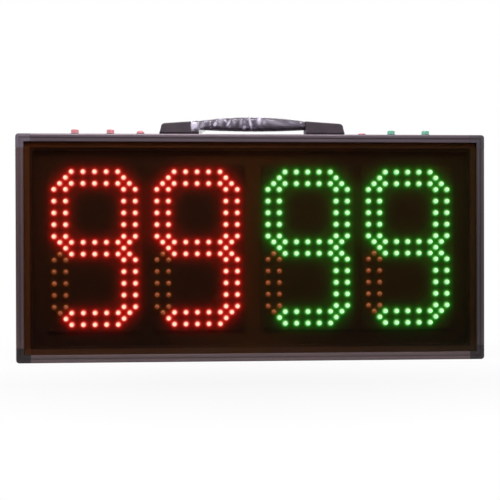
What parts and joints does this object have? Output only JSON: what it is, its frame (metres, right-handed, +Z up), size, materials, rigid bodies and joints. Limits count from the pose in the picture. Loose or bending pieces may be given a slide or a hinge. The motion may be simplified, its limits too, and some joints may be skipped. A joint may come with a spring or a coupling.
{
  "type": "electronic substitution board",
  "caption": "Hand-held electronic board showing two large lit shirt numbers, red and green, behind a smoked window, with push buttons and a strap handle on top.",
  "frame": {"origin": "middle of the bottom face, halfway between front and back", "axes": "+X to the reader's right, +Y from the window to the rear cover, +Z up towards the handle"},
  "size_m": [0.6148, 0.0458, 0.3221],
  "materials": {
    "frame_metal": "satin, dark anodised",
    "corner_plastic": "moulded, satin",
    "smoked_acrylic": "polished, brown smoke tint",
    "cover_plastic": "fine grain",
    "tray_plastic": "matte",
    "lamp_board": "black solder mask",
    "button_red": "satin",
    "button_green": "satin",
    "button_black": "satin",
    "bright_steel": "zinc plated",
    "handle_plastic": "satin",
    "grip_rubber": "matte",
    "clear_film": "clear, creased",
    "circuit_board": "green solder mask",
    "cell_wrap": "blue shrink wrap over steel cells",
    "grey_cable": "matte",
    "black_cable": "matte",
    "red_cable": "matte"
  },
  "bodies": {
    "case": {"frame_top": "frame_metal", "frame_bottom": "frame_metal", "frame_left": "frame_metal", "frame_right": "frame_metal", "corner_top_left": "corner_plastic", "corner_top_right": "corner_plastic", "corner_bottom_left": "corner_plastic", "corner_bottom_right": "corner_plastic", "front_window": "smoked_acrylic", "rear_cover": "cover_plastic", "display_tray": "tray_plastic", "out_tens_digit": "lamp_board", "out_units_digit": "lamp_board", "in_tens_digit": "lamp_board", "in_units_digit": "lamp_board", "out_tens_button_body": "button_black", "out_tens_button_nut": "bright_steel", "out_units_button_body": "button_black", "out_units_button_nut": "bright_steel", "clear_button_body": "button_black", "clear_button_nut": "bright_steel", "power_button_body": "button_black", "power_button_nut": "bright_steel", "in_tens_button_body": "button_black", "in_tens_button_nut": "bright_steel", "in_units_button_body": "button_black", "in_units_button_nut": "bright_steel", "handle_cap_left": "handle_plastic", "handle_base_left": "handle_plastic", "handle_screw_left": "bright_steel", "handle_anchor_left": "bright_steel", "handle_cap_right": "handle_plastic", "handle_base_right": "handle_plastic", "handle_screw_right": "bright_steel", "handle_anchor_right": "bright_steel", "handle_band": "bright_steel", "cover_screw_bottom_left": "bright_steel", "cover_screw_bottom_middle": "bright_steel", "cover_screw_bottom_right": "bright_steel", "cover_screw_top_left": "bright_steel", "cover_screw_top_middle": "bright_steel", "cover_screw_top_right": "bright_steel", "control_board": "circuit_board", "battery_pack": "cell_wrap", "battery_clip": "bright_steel", "charge_socket": "button_black", "charge_socket_nut": "bright_steel", "display_ribbon": "grey_cable", "button_harness": "black_cable", "battery_lead": "red_cable", "charge_lead": "black_cable"},
    "out_tens_button": {"out_tens_button_cap": "button_red"},
    "out_units_button": {"out_units_button_cap": "button_red"},
    "clear_button": {"clear_button_cap": "button_red"},
    "power_button": {"power_button_cap": "button_red"},
    "in_tens_button": {"in_tens_button_cap": "button_green"},
    "in_units_button": {"in_units_button_cap": "button_green"},
    "grip": {"handle_grip": "grip_rubber", "grip_film": "clear_film"}
  },
  "joints": [
    {"name": "out_tens_press", "type": "slide", "parent": "case", "child": "out_tens_button", "axis": [0, 0, -1], "range_m": [0, 0.0025], "stiffness_N_per_m": 400, "springref_m": -0.004},
    {"name": "out_units_press", "type": "slide", "parent": "case", "child": "out_units_button", "axis": [0, 0, -1], "range_m": [0, 0.0025], "stiffness_N_per_m": 400, "springref_m": -0.004},
    {"name": "clear_press", "type": "slide", "parent": "case", "child": "clear_button", "axis": [0, 0, -1], "range_m": [0, 0.0025], "stiffness_N_per_m": 400, "springref_m": -0.004},
    {"name": "power_press", "type": "slide", "parent": "case", "child": "power_button", "axis": [0, 0, -1], "range_m": [-0.0018, 0.0005]},
    {"name": "in_tens_press", "type": "slide", "parent": "case", "child": "in_tens_button", "axis": [0, 0, -1], "range_m": [0, 0.0025], "stiffness_N_per_m": 400, "springref_m": -0.004},
    {"name": "in_units_press", "type": "slide", "parent": "case", "child": "in_units_button", "axis": [0, 0, -1], "range_m": [0, 0.0025], "stiffness_N_per_m": 400, "springref_m": -0.004},
    {"name": "handle_lift", "type": "slide", "parent": "case", "child": "grip", "axis": [0, 0, 1], "range_m": [0, 0.014], "deforming": ["handle_band"]}
  ]
}
